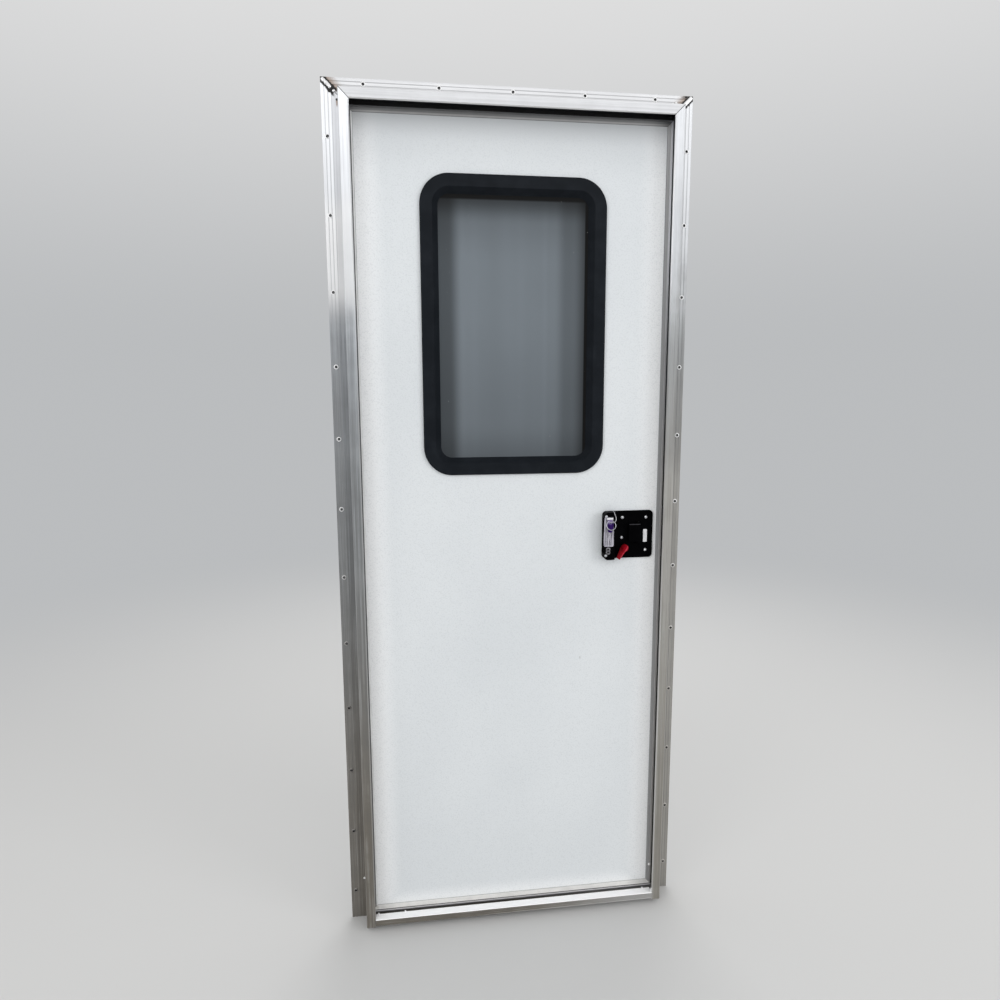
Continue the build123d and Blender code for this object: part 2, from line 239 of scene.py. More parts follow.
def corner_marks(place):
    """Masks for the mitre seam, the soot beside the welds and the brown scorch around it."""
    x, y, z = place.axes()
    past_seam = (abs(x) - rim_x) - (z - rim_z)
    off_seam = abs(past_seam) * math.sqrt(0.5)
    outward = (abs(x) - rim_edge_x).larger(z - rim_edge_z)
    high = z.rises(rim_z - 1 * mm, rim_z)
    seam = off_seam.rises(2 * seam_half_width, seam_half_width) * high
    smoke = place.noise(260, 3)
    ragged = off_seam + (smoke - 0.5) * (7 * mm)
    by_weld = outward.rises(9 * mm, 14 * mm) * high
    soot = ragged.rises(soot_reach, soot_black) * by_weld
    for spot_x, spot_z, radius in burn_spots:
        off_spot = place.distance((spot_x * mm, 0, spot_z * mm)) + (smoke - 0.5) * (2 * mm)
        soot = soot.larger(off_spot.rises(radius * mm, 0.7 * radius * mm))
    scorch = ragged.rises(scorch_reach, soot_black) * by_weld * past_seam.rises(8 * mm, -4 * mm)
    lip_burn = (z - flange_z).rises(-9 * mm, -2 * mm) * ragged.rises(20 * mm, 7 * mm) * x.rises(0, mm)
    soot = soot.larger(lip_burn * past_seam.rises(4 * mm, -2 * mm) * 0.8)
    drip_width = abs(x - drip_x) + (smoke - 0.5) * (3 * mm)
    drip_span = z.rises(drip_end, drip_end + 6 * mm) * z.rises(drip_top + 2 * mm, drip_top - 1 * mm)
    drip = drip_width.rises(2.4 * mm, 0.8 * mm) * drip_span * y.rises(-6 * mm, -3 * mm)
    return seam, soot, scorch.larger(drip)


def mill_aluminium(place, along, bright, dulling_heights, dull_tones, contrast, tread=None, stretches=()):
    """Bare aluminium with lines along a bar.

    bright: the tone of the clean metal
    dulling_heights: the height where the bright metal starts to fade and the one where it has all turned dull
    dull_tones: tones of the dull metal high up, halfway and at the ground: tarnish and painted dark reflection
    contrast: how much is left on the dull metal of the painted shade, and of the painted highlights high up
    and low down
    tread: the height above which it is worn bright by feet and painted light where it faces up, if any
    stretches: lengths of the bar painted lighter or darker as reflections, each with its middle, its
    reach, its tone and how strong it is on the rim and on the flange
    """
    x, y, z = place.axes()
    stretch = {"upright": (1, 1, 0.012), "level": (0.012, 1, 1)}[along]
    lines = place.noise([1400 * share for share in stretch], 3, 0.6)
    bands = place.noise([330 * share for share in stretch], 2)
    patches = place.noise((16, 16, 11), 4, 0.6)
    tone = lines * 0.2 + bands * 0.5 + patches * 0.3
    # Dull and brown towards the ground: partly tarnish, partly a painted reflection of the dark ground.
    tarnish_and_dark_reflection = (z + (patches - 0.5) * 0.22).rises(*dulling_heights)
    worn = z.rises(tread - 0.6 * mm, tread) if tread else z * 0
    tarnish_and_dark_reflection = tarnish_and_dark_reflection * (1 - worn)

    clean = tone.rises(0.36, 0.64).mix(dimmed(bright, 0.84), bright)
    dull = z.rises(1.0, 1.42).mix(z.rises(0.15, 1.05).mix(dull_tones[2], dull_tones[1]), dull_tones[0])
    dull = (tone.rises(0.62, 0.36) * 0.5).mix(dull, dimmed(dull_tones[1], 0.45))
    dull = (tone.rises(0.5, 0.66) * 0.3).mix(dull, dull_tones[0])
    metal = tarnish_and_dark_reflection.mix(clean, dull)
    # The tread is near white: partly worn by feet, partly painted light where it faces up.
    metal = worn.mix(metal, (0.98, 0.98, 0.985))
    grime = (patches * 0.6 + bands * 0.4).rises(0.55, 0.72) * tarnish_and_dark_reflection
    metal = (grime * 0.45).mix(metal, (0.1, 0.088, 0.07))
    if tread:
        metal = (x.rises(0, 0.33) * tarnish_and_dark_reflection * 0.62).mix(metal, grey(0.5))
        # A painted highlight along the lower edge of the nose.
        low_edge_highlight = z.rises(nose_low + 2.6 * mm, nose_low + 1.4 * mm) * y.rises(-50 * mm, -54 * mm)
        metal = (low_edge_highlight * x.rises(-0.15, 0.1) * 0.3).mix(metal, grey(0.75))

    out = abs(x) - rim_x if along == "upright" else z - rim_z
    flat = y.rises(-4 * mm, -2 * mm)
    # Painted shade on the flat flange beside the wall of the rim.
    rim_shade = out.rises(rim_width + 17 * mm, rim_width + 13 * mm) * flat
    # Painted highlights on the bands between the grooves and along both edges of the rim.
    ridge_highlight = abs(out - flange_out + hole_inset).rises(9.5 * mm, 8.5 * mm) * flat
    edge_highlight = abs(out - 0.9 * mm).rises(1.8 * mm, 1.0 * mm)
    edge_highlight = edge_highlight.larger(abs(out - rim_width + 0.6 * mm).rises(1.4 * mm, 0.7 * mm) * (1 - flat) * 0.4)
    # Painted reflections: lengths painted lighter, as of the lamp and sky, or darker, as of dark things in
    # front.
    for middle, reach, shade, on_rim, on_flange in stretches:
        reflection_mask = abs(z - middle).rises(reach, 0.5 * reach)
        metal = (reflection_mask * (on_rim + flat * (on_flange - on_rim))).mix(metal, grey(shade))
    shade_left = 1 - tarnish_and_dark_reflection * (1 - contrast[0])
    highlight_left = 1 - tarnish_and_dark_reflection * (1 - contrast[1] - z.rises(1.2, 0.5) * (contrast[2] - contrast[1]))
    metal = (rim_shade * shade_left * 0.32).mix(metal, (0.14, 0.14, 0.15))
    metal = ((ridge_highlight * 0.17).larger(edge_highlight * 0.5) * highlight_left).mix(metal, grey(0.97))
    # The grooves of the flange are painted dark with shade.
    groove_shade = y.rises(0.1 * mm, 0.3 * mm) * y.rises(1.6 * mm, 1.2 * mm)
    metal = (groove_shade * shade_left * 0.45).mix(metal, (0.2, 0.2, 0.21))

    seam, soot, scorch = corner_marks(place)
    metal = (scorch * 0.75).mix(metal, (0.2, 0.125, 0.075))
    metal = (seam * 0.85).larger(soot).mix(metal, (0.01, 0.009, 0.009))
    return {
        "Base Color": metal,
        "Metallic": 0.94 - tarnish_and_dark_reflection * 0.6 - worn * 0.8 - soot * 0.75 - grime * 0.2,
        "Roughness": 0.25 + lines * 0.12 + tarnish_and_dark_reflection * 0.16 + grime * 0.15 + soot * 0.25,
        "Normal": (lines * 0.7 + bands * 0.3).relief(0.12 * mm, 0.5),
    }


brown_grey = ((0.53, 0.56, 0.595), (0.242, 0.25, 0.255), (0.172, 0.152, 0.122))
pale_grey = ((0.47, 0.485, 0.495), (0.4, 0.388, 0.362), (0.275, 0.258, 0.226))
hinge_side = new_finish(
    "hinge_side_aluminium", mill_aluminium,
    "upright", (0.87, 0.885, 0.915), (1.58, 1.32), brown_grey, (0.2, 0.38, 0.3),
    stretches=((1.52, 0.14, 0.99, 0.6, 0.9), (1.3, 0.2, 0.12, 0.16, 0.36)),
)
strike_side = new_finish(
    "strike_side_aluminium", mill_aluminium,
    "upright", (0.735, 0.75, 0.775), (1.62, 1.36), pale_grey, (0.6, 0.05, 0.65),
    stretches=((1.22, 0.2, 0.12, 0.33, 0.36),),
)
cover(hinge_side, "hinge_jamb", "hinge_frame_leaves", "hinge_door_leaves")
cover(strike_side, "strike_jamb")
head = new_finish(
    "head_aluminium", mill_aluminium,
    "level", (0.64, 0.645, 0.66), (1.62, 1.12), pale_grey, (0.5, 0.5, 0.5),
)
cover(head, "head_jamb")
sill = new_finish(
    "sill_aluminium", mill_aluminium,
    "level", (0.86, 0.865, 0.88), (1.62, 1.12), brown_grey, (0.2, 0.2, 0.2), tread_z,
)
cover(sill, "sill")

# %% [markdown]
# Slimmer rails run round the slab. Each has a bevel that rises from the panel to a crest and a steeper fall
# outside it. Their tones are painted light and shade: rails that face the light are painted near white and
# hardly metallic, and the ones in the shade of the frame keep a darker bare grey, so each rail has a tone for
# its bevel and one for its fall. Each bevel is painted a little darker by the panel and lighter at its crest,
# and low down the rails have some dust. Thin dark joints mark the mitres and the line where a rail meets the
# panel, though low down on the uprights that line is clean. On the outside all four have the same plain satin
# tone.

# %% Satin aluminium for the rails round the slab
panel_x = slab_high.x
panel_top = slab_high.z
panel_low = slab_low.z
joint_width = 0.8 * mm


def rail_aluminium(place, along, bevel, fall, crest, bare):
    """bevel and fall are tones with light and shade painted in, crest is the way from the panel to where they
    meet, bare is how metallic.
    """
    x, y, z = place.axes()
    stretch = {"upright": (1, 1, 0.01), "level": (0.01, 1, 1)}[along]
    lines = place.noise([1700 * share for share in stretch], 2)
    patches = place.noise(30, 4, 0.6)
    out_x = abs(x) - panel_x
    out_z = (z - panel_top).larger(panel_low - z)
    out = out_x.larger(out_z)
    # Painted shade by the panel, rising to a painted highlight at the crest of the bevel.
    bevel_shade_to_highlight = out.rises(0, crest).mix(dimmed(bevel, 0.88), bevel)
    metal = out.rises(crest - 0.6 * mm, crest + 0.6 * mm).mix(bevel_shade_to_highlight, fall)
    outside = y.rises(4 * mm, 7 * mm)
    metal = outside.mix(metal, (0.68, 0.685, 0.695))
    streaked = (lines * 0.6 + patches * 0.4).rises(0.62, 0.38) * 0.25
    metal = streaked.mix(metal, dimmed(fall, 0.6))
    joint = abs(out).rises(2 * joint_width, joint_width)
    if along == "upright":
        joint = joint * z.rises(1.3, 1.5)
    mitre = abs(out_x - out_z).rises(joint_width, 0.5 * joint_width)
    metal = (joint.larger(mitre) * 0.55).mix(metal, (0.08, 0.08, 0.085))
    dust = patches.rises(0.56, 0.72) * z.rises(0.3, 0.02)
    metal = (dust * 0.4).mix(metal, (0.36, 0.33, 0.28))
    return {
        "Base Color": metal,
        "Metallic": bare + outside * (0.8 - bare) - dust * 0.5 * bare,
        "Roughness": 0.36 + lines * 0.12 + dust * 0.2,
        "Normal": lines.relief(0.06 * mm, 0.4),
    }


# Painted light and shade: near white where a rail faces the light, grey where it lies in the frame's shade.
for name, along, bevel, fall, crest, bare in (
    ("hinge_rail", "upright", (0.98, 0.985, 0.98), (0.09, 0.09, 0.092), 3.6 * mm, 0.05),
    ("lock_rail", "upright", (0.46, 0.46, 0.465), (0.8, 0.8, 0.81), 8 * mm, 0.7),
    ("top_rail", "level", (0.46, 0.455, 0.45), grey(0.26), 4.5 * mm, 0.88),
    ("bottom_rail", "level", (0.98, 0.97, 0.945), (0.2, 0.2, 0.21), 12.5 * mm, 0.05),
):
    cover(new_finish(name + "_finish", rail_aluminium, along, bevel, fall, crest, bare), name)

# %% [markdown]
# The panel is a cool white sheet with a fine pebble grain, about two millimetres from bump to bump. A noise
# at that scale makes the bump, and a slower one keeps the sheet from looking too flat. The sheet is painted
# paler near its edges, as painted light against the shade of the frame; it is darker in a painted shadow
# under the head, deepest close under the top rail on the inside, and has one faint scuff to the right of the
# middle.

# %% Pebbled white for the two skins
scuff = Vector((154.3, 0, 624.7)) * mm


def pebbled_white(place):
    x, y, z = place.axes()
    pebbles = place.noise(430, 2, 0.55)
    drift = place.noise((3.2, 3.2, 2.1), 2)
    handling = place.noise((26, 26, 40), 5, 0.65)
    white = drift.rises(0.3, 0.7).mix((0.69, 0.718, 0.737), (0.735, 0.762, 0.778))
    hollows = pebbles.rises(0.52, 0.28)
    # Painted light: paler near the sides and the bottom, against the shade of the frame.
    rim = (abs(x) - slab_high.x + 64 * mm).larger(slab_low.z + 40 * mm - z).rises(0, 62 * mm)
    white = rim.mix(white, (0.97, 0.98, 0.985))
    # Painted shadow under the head, deeper close under the top rail on the inside.
    head_shadow = z.rises(slab_high.z - 130 * mm, slab_high.z)
    white = (head_shadow * 0.4).mix(white, (0.45, 0.465, 0.48))
    rail_shadow = z.rises(slab_high.z - 52 * mm, slab_high.z) * y.rises(0, -10 * mm)
    white = (rail_shadow * 0.33).mix(white, (0.2, 0.207, 0.215))
    white = (hollows * 0.26).mix(white, (0.46, 0.485, 0.505))
    marks = handling.rises(0.7, 0.8) * 0.1
    off_scuff = abs(x - scuff.x) + abs(z - scuff.z) * 0.5
    marks = marks.larger(off_scuff.rises(3 * mm, 1.2 * mm) * 0.45)
    white = marks.mix(white, grey(0.38))
    return {
        "Base Color": white,
        "Roughness": 0.44 + hollows * 0.15,
        "Normal": (pebbles * 0.8 + drift * 0.2).relief(0.5 * mm, 0.55),
    }


cover(new_finish("white_panel", pebbled_white), "inner_skin", "outer_skin")

# %% [markdown]
# Black plastics look alike only from far away. The window rings are charcoal with a fine moulded grain; the
# lock is blacker. Both have rubbed, slightly lighter patches and a little dust, and they shine less than
# clean plastic, so the shader's specular level is low.

# %% Charcoal and black plastics
window_low, window_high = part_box("window_inner_ring")
paddle_low, paddle_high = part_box("inside_handle")


def moulded_black(place, deep, worn, shine, grain):
    """A black plastic: two tones, its specular level and the waves per metre of its grain.

    The throat of the window is painted dark with shade at its top and right, and the paddle has a painted
    glint along its top edge.
    """
    x, y, z = place.axes()
    texture = place.noise(grain, 2, 0.6)
    rubbed = place.noise(24, 4, 0.6)
    dust = place.noise(310, 4, 0.7).rises(0.66, 0.78)
    black = rubbed.rises(0.35, 0.75).mix(deep, worn)
    black = (dust * 0.12).mix(black, grey(0.1))
    # Painted shade in the throat of the window, at its top and right.
    turned = (z - window_high.z).larger(x - window_high.x).rises(-30 * mm, -24 * mm)
    throat = y.rises(window_low.y + 1 * mm, window_low.y + 5 * mm) * y.rises(0, -2 * mm)
    black = (throat * turned * 0.85).mix(black, grey(0.001))
    # A painted glint along the top edge of the paddle.
    edge = abs(z - paddle_high.z + 0.5 * mm).rises(0.9 * mm, 0.5 * mm) * y.rises(-28 * mm, -29 * mm)
    edge = edge * (x - paddle_low.x - 1 * mm).rises(0, 1 * mm) * (paddle_high.x - x).rises(0, 2 * mm)
    black = edge.mix(black, (0.05, 0.05, 0.055))
    return {
        "Base Color": black,
        "Roughness": 0.34 + rubbed * 0.14 + dust * 0.2,
        "Specular IOR Level": shine,
        "Normal": texture.relief(0.1 * mm, 0.35),
    }


ring_black = new_finish(
    "window_charcoal", moulded_black,
    (0.0065, 0.0085, 0.0115), (0.0105, 0.013, 0.017), 0.1, 900,
)
lock_black = new_finish(
    "lock_black", moulded_black,
    (0.0008, 0.0008, 0.0011), (0.0018, 0.0018, 0.0023), 0.016, 1300,
)
cover(ring_black, "window_inner_ring", "window_outer_ring")
cover(lock_black, "lock_plate", "inside_handle", "outer_lock_plate", "outer_pull")

# %% [markdown]
# The pane is a tinted privacy glass: a bluish grey that lets little light through, with a frosted grain that
# scatters what is left. Light and shade are painted into its colour: painted shade along the top and both
# sides, painted light in the middle and a little darker again towards the bottom. Painted upright bands, as of
# a wall seen through it, run through it all, and a narrow strip on the right is painted black as the shade of
# the ring.

# %% Frosted glass
glass_cover = Vector((8, 0, 8)) * mm
pane_low = glass_low + glass_cover
pane_high = glass_high - glass_cover


def frosted_glass(place):
    x, _, z = place.axes()
    frost = place.noise(700, 3, 0.6)
    bands = place.noise((22, 0, 0.4), 1)
    cloud = place.noise((7, 7, 5), 3)
    from_left = x - pane_low.x
    from_right = pane_high.x - x
    down = pane_high.z - z
    up = z - pane_low.z
    # Painted shade and light, in place of what would be seen through the pane.
    left = 0.4 + from_left.rises(22 * mm, 52 * mm) * 0.6
    right = 1 - from_right.rises(96 * mm, 84 * mm) * 0.1 - from_right.rises(74 * mm, 48 * mm) * 0.3
    right = (right - from_right.rises(34 * mm, 0) * 0.4) * from_right.rises(5.5 * mm, 7.5 * mm)
    top = down.rises(7 * mm, 12 * mm) * 0.22 + down.rises(8 * mm, 60 * mm) * 0.46
    top = top + down.rises(0, 150 * mm) * 0.32
    low = 0.58 + up.rises(0, 80 * mm) * 0.2 + up.rises(50 * mm, 330 * mm) * 0.22
    painted_bands = 0.92 + (bands * 0.7 + cloud * 0.3).rises(0.3, 0.7) * 0.12
    shade = left * right * top * low * painted_bands
    tint = shade.mix((0, 0, 0), (0.182, 0.208, 0.231))
    specks = place.noise(240, 1).rises(0.785, 0.81)
    tint = (specks * 0.35).mix(tint, grey(0.5))
    return {
        "Base Color": tint,
        "Roughness": 0.42 + frost * 0.16,
        "Transmission Weight": 0.06,
        "Specular IOR Level": 0.15,
        "IOR": 1.5,
        "Normal": frost.relief(0.06 * mm, 0.3),
    }


cover(new_finish("frosted_glass", frosted_glass), "window_glass")

# %% [markdown]
# The rest are smaller surfaces: the red moulded lever, zinc-plated steel for bolts, pins and plates, black
# rubber for the seals, and pale foam inside the slab. The cap that holds the lever is moulded with it in red.

# %% Lever, zinc, rubber and foam
lever_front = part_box("dead_bolt_lever")[0].y
lever_joint = next(joint for joint in frame["record"]["behaviour"]["joints"] if joint["name"] == "lever_turn")
lever_pivot = Vector(lever_joint["pos_m"])
sweep_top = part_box("bottom_sweep")[1].z


def lever_red(place):
    x, y, z = place.axes()
    rubbed = place.noise(220, 3)
    red = rubbed.rises(0.3, 0.75).mix((0.17, 0.0008, 0.005), (0.27, 0.0016, 0.009))
    across = (x - lever_pivot.x) * 0.86 - (z - lever_pivot.z) * 0.5 + (rubbed - 0.5) * (2 * mm)
    front = y.rises(lever_front + 2.6 * mm, lever_front + 0.2 * mm)
    # A painted highlight streak along the right side of the lever.
    red = (front * abs(across - 3.4 * mm).rises(2.8 * mm, 0.6 * mm) * 0.7).mix(red, (0.6, 0.055, 0.085))
    # Painted shade on the lever's left side.
    red = (across.rises(-2 * mm, -5 * mm) * 0.5).mix(red, (0.08, 0.0004, 0.002))
    return {
        "Base Color": red,
        "Roughness": 0.26 + rubbed * 0.14,
        "Specular IOR Level": 0.04,
        "Normal": rubbed.relief(0.08 * mm, 0.15),
    }


def zinc_steel(place):
    spangle = place.noise(420, 3, 0.6)
    stain = place.noise(70, 4)
    zinc = spangle.rises(0.3, 0.7).mix((0.56, 0.57, 0.6), (0.78, 0.79, 0.8))
    zinc = (stain.rises(0.6, 0.8) * 0.35).mix(zinc, (0.3, 0.27, 0.22))
    return {
        "Base Color": zinc,
        "Metallic": 0.95,
        "Roughness": 0.24 + spangle * 0.16,
        "Normal": spangle.relief(0.05 * mm, 0.25),
    }


def seal_rubber(place, tone, bead_highlight=None):
    grain = place.noise(500, 3)
    dust = place.noise(60, 4).rises(0.55, 0.75)
    rubber = (dust * 0.3).mix(dimmed(tone, 0.7), tone)
    # A painted highlight along the bead at the top of the sweep.
    if bead_highlight:
        down = sweep_top - place.axes()[2]
        bead = down.rises(0.9 * mm, 1.3 * mm) * down.rises(3.4 * mm, 2.8 * mm)
        rubber = bead.mix(rubber, bead_highlight)
    return {
        "Base Color": rubber,
        "Roughness": 0.62 + dust * 0.2,
        "Normal": grain.relief(0.1 * mm, 0.3),
    }


def pale_foam(place):
    cells = place.noise(900, 2)
    tone = cells.rises(0.3, 0.7).mix((0.66, 0.64, 0.56), (0.82, 0.8, 0.72))
    return {"Base Color": tone, "Roughness": 0.9, "Normal": cells.relief(0.3 * mm, 0.6)}


zinc = new_finish("zinc_steel", zinc_steel)
cover(new_finish("red_lever", lever_red), "dead_bolt_lever", "lever_spindle")
cover(zinc, "strike_plate", "hinge_pins", "inside_handle_pin", "key_cylinders")
cover(zinc, "lock_edge_plate", "latch_bolt", "dead_bolt")
cover(new_finish("seal_rubber", seal_rubber, grey(0.006)), "door_seal", "window_gasket")
sweep_rubber = new_finish("sweep_rubber", seal_rubber, (0.3, 0.3, 0.315), (0.82, 0.82, 0.83))
cover(sweep_rubber, "bottom_sweep")
cover(new_finish("foam", pale_foam), "foam_core")

# %% [markdown]
# Now the small pieces. An operator acts on everything that is selected, and the loaded solids start out
# selected, so each step begins with a clean selection. A piece ends with its place applied to its mesh, its
# edges shaded by their angle, its finish, and the body that it rides on.

# %% Helpers for modelling with operators
facing_in = (math.pi / 2, 0, 0)


def select_only(*pieces):
    """Selects these objects and nothing else; the first one is active."""
    bpy.ops.object.select_all(action="DESELECT")
    for piece in pieces:
        piece.select_set(True)
    if pieces:
        bpy.context.view_layer.objects.active = pieces[0]


def place_in_mesh(piece):
    select_only(piece)
    bpy.ops.object.transform_apply(location=True, rotation=True, scale=True)


def added(operator, **settings):
    """Runs an operator that adds a primitive, and puts the new object's place into its mesh."""
    select_only()
    operator(**settings)
    piece = bpy.context.object
    place_in_mesh(piece)
    return piece


def put(name, data):
    """A new object in the scene, for a curve, a camera or a lamp."""
    piece = bpy.data.objects.new(name, data)
    bpy.context.scene.collection.objects.link(piece)
    return piece


@contextmanager
def editing(piece):
    """Edit mode with the whole mesh selected, and object mode again at the end."""
    select_only(piece)
    bpy.ops.object.mode_set(mode="EDIT")
    bpy.ops.mesh.select_all(action="SELECT")
    yield
    bpy.ops.object.mode_set(mode="OBJECT")


def choose(piece, kind, test):
    """In edit mode, selects the verts, edges or faces whose test is true."""
    mesh = bmesh.from_edit_mesh(piece.data)
    bpy.ops.mesh.select_all(action="DESELECT")
    bpy.ops.mesh.select_mode(type={"verts": "VERT", "edges": "EDGE", "faces": "FACE"}[kind])
    for element in getattr(mesh, kind):
        element.select_set(bool(test(element)))
    bmesh.update_edit_mesh(piece.data)


def apply_modifier(piece, kind, **settings):
    select_only(piece)
    bpy.ops.object.modifier_add(type=kind)
    modifier = piece.modifiers[-1]
    for name, value in settings.items():
        setattr(modifier, name, value)
    bpy.ops.object.modifier_apply(modifier=modifier.name)


def combine(piece, tool, operation="DIFFERENCE"):
    """Takes the tool's shape out of the piece, or unites the two; the tool goes."""
    apply_modifier(piece, "BOOLEAN", operation=operation, solver="EXACT", object=tool)
    bpy.data.objects.remove(tool)


def block(low, high, depth, y):
    """A box between two corners, given as X and Z in millimetres, that deep about Y; and its middle."""
    middle = ((low[0] + high[0]) / 2 * mm, y, (low[1] + high[1]) / 2 * mm)
    size = ((high[0] - low[0]) * mm, depth * mm, (high[1] - low[1]) * mm)
    return added(bpy.ops.mesh.primitive_cube_add, size=1, location=middle, scale=size), middle


def disc(radius, thickness, place, sides=28):
    return added(
        bpy.ops.mesh.primitive_cylinder_add,
        vertices=sides, radius=radius, depth=thickness, location=place, rotation=facing_in,
    )


def joined(pieces):
    select_only(*pieces)
    bpy.ops.object.join()
    return pieces[0]


def copies(model, places, turn):
    """Copies of a model, each with its own mesh, at those places, joined; the model itself goes."""
    made = []
    for place in places:
        select_only(model)
        bpy.ops.object.duplicate(linked=False)
        copy = bpy.context.object
        copy.location = place
        copy.rotation_euler = turn()
        made.append(copy)
    bpy.data.objects.remove(model)
    return joined(made)


def row_turn(seed):
    """A new angle about Y for each copy in a row."""
    draw = random.Random(seed)
    return lambda: (0, draw.uniform(0, math.tau), 0)


def settle(piece, name, finish, body, angle):
    """Ends a piece: place in the mesh, normals out, shading, finish, and the body that carries it."""
    place_in_mesh(piece)
    with editing(piece):
        bpy.ops.mesh.remove_doubles(threshold=0.001 * mm)
        bpy.ops.mesh.normals_make_consistent(inside=False)
    bpy.ops.object.shade_smooth_by_angle(angle=math.radians(angle))
    piece.name = name
    piece.data.name = name
    piece.data.materials.clear()
    piece.data.materials.append(finish)
    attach(piece, body)
    piece.data.calc_loop_triangles()
    print(name, "rides on", body, "with", len(piece.data.loop_triangles), "triangles")


# %% [markdown]
# The screw holes of the flange were punched from behind, and each has a raised collar whose opening the torn
# metal nearly closes further in; the opening is painted dark with shade. A circle of edges is extruded ring by
# ring along a profile of radius and depth, the last ring is bridged back to the first, and the closed collar
# is copied to every hole.
# Each copy is turned by its own angle, so that their facets don't all catch the light alike.

# %% Punched collars on the flange holes
hole_pitch = 154.1 * mm
screw_row = next(mount for mount in frame["record"]["mounts"] if mount["name"] == "jamb_screws_outer")
row_height = screw_row["dims"]["spacing_y_mm"] * mm
lowest_hole = screw_row["pos_m"][2] - row_height / 2
jamb_rows = round(row_height / hole_pitch) + 1
collar_profile = (
    (5.2, -0.02), (4.6, -0.5), (4.0, -1.1), (3.4, -1.2), (2.95, -0.7), (2.6, -0.15), (2.2, 0.1), (1.9, 1.6),
    (0.5, 2.2), (0.7, 2.4), (2.2, 2.0), (2.27, 0.25), (5.1, 0.2),
)
collar_sides = 20
mouth_shade_radius = 2.7 * mm


def bright_collar(place):
    """Torn aluminium, near white outside with a painted highlight; its hole painted dark with shade; darker
    low down.
    """
    x, _, z = place.axes()
    crumple = place.noise(900, 3)
    tarnish_and_dark_reflection = z.rises(1.1, 0.5)
    low_tone = x.rises(-0.1, 0.1).mix((0.2, 0.19, 0.175), (0.5, 0.48, 0.45))
    # Near white, with a painted highlight, high up; darker near the ground, most on the left.
    metal = tarnish_and_dark_reflection.mix(grey(0.98), low_tone)
    metal = (crumple.rises(0.55, 0.75) * 0.4).mix(metal, (0.35, 0.34, 0.33))
    up_jamb = z.math("PINGPONG", z - lowest_hole, hole_pitch / 2)
    along_head = x.math("PINGPONG", x, hole_pitch / 2)
    off_jamb = x.math("POWER", abs(x) - flange_x + hole_inset, 2) + up_jamb * up_jamb
    off_head = x.math("POWER", z - flange_z + hole_inset, 2) + along_head * along_head
    off_hole = x.math("SQRT", x.math("MINIMUM", off_jamb, off_head))
    # The opening of each hole is painted dark with shade.
    mouth_shade = off_hole.rises(mouth_shade_radius + 0.4 * mm, mouth_shade_radius)
    metal = mouth_shade.mix(metal, (0.008, 0.008, 0.009))
    return {
        "Base Color": metal,
        "Metallic": 0.15 - mouth_shade * 0.1,
        "Roughness": 0.24 + crumple * 0.2 + mouth_shade * 0.4,
        "Normal": crumple.relief(0.25 * mm, 0.5),
    }


def collar_model():
    first_radius, first_depth = collar_profile[0]
    collar = added(
        bpy.ops.mesh.primitive_circle_add,
        vertices=collar_sides, radius=first_radius * mm,
        location=(0, first_depth * mm, 0), rotation=facing_in,
    )
    with editing(collar):
        for (radius, depth), (next_radius, next_depth) in zip(collar_profile, collar_profile[1:]):
            move = {"value": (0, (next_depth - depth) * mm, 0)}
            bpy.ops.mesh.extrude_edges_move(TRANSFORM_OT_translate=move)
            share = next_radius / radius
            bpy.ops.transform.resize(value=(share, 1, share), center_override=(0, 0, 0))
        choose(collar, "edges", lambda edge: edge.is_boundary)
        bpy.ops.mesh.bridge_edge_loops()
    return collar


punched = new_finish("punched_aluminium", bright_collar)
hole_x = flange_x - hole_inset
hole_heights = [lowest_hole + row * hole_pitch for row in range(jamb_rows)]
for name, places, seed in (
    ("hinge_jamb_collars", [(-hole_x, 0, height) for height in hole_heights], 4),
    ("strike_jamb_collars", [(hole_x, 0, height) for height in hole_heights], 6),
    ("head_collars", [(step * hole_pitch, 0, flange_z - hole_inset) for step in range(-2, 3)], 11),
):
    settle(copies(collar_model(), places, row_turn(seed)), name, punched, "frame", 55)

# %% [markdown]
# Each top corner is welded across the flange's mitre. A bead is a row of molten drops that ran together, so
# squashed spheres are set along the mitre, joined, and melted into one skin by a voxel remesh and a smoothing
# pass. The bead on the left is uneven and ends in a separate lump; the one on the right is neat, with two
# blisters on the head beside it. The sill is welded too: a short bead stands at its right end, and a few
# drops have stayed along the back edge of the tread.

# %% Weld beads on the top corners and the sill
tread_back = -36.8
sill_end_face = -52.8
weld_voxel = 0.42 * mm


def weld_metal(place):
    ripple = place.noise(620, 3, 0.6)
    silver = ripple.rises(0.3, 0.7).mix((0.74, 0.74, 0.75), grey(0.94))
    pits = place.noise(1500, 2).rises(0.72, 0.8)
    silver = (pits * 0.6).mix(silver, grey(0.05))
    return {
        "Base Color": silver,
        "Metallic": 0.7 - pits * 0.3,
        "Roughness": 0.24 + ripple * 0.2,
        "Normal": ripple.relief(0.3 * mm, 0.5),
    }


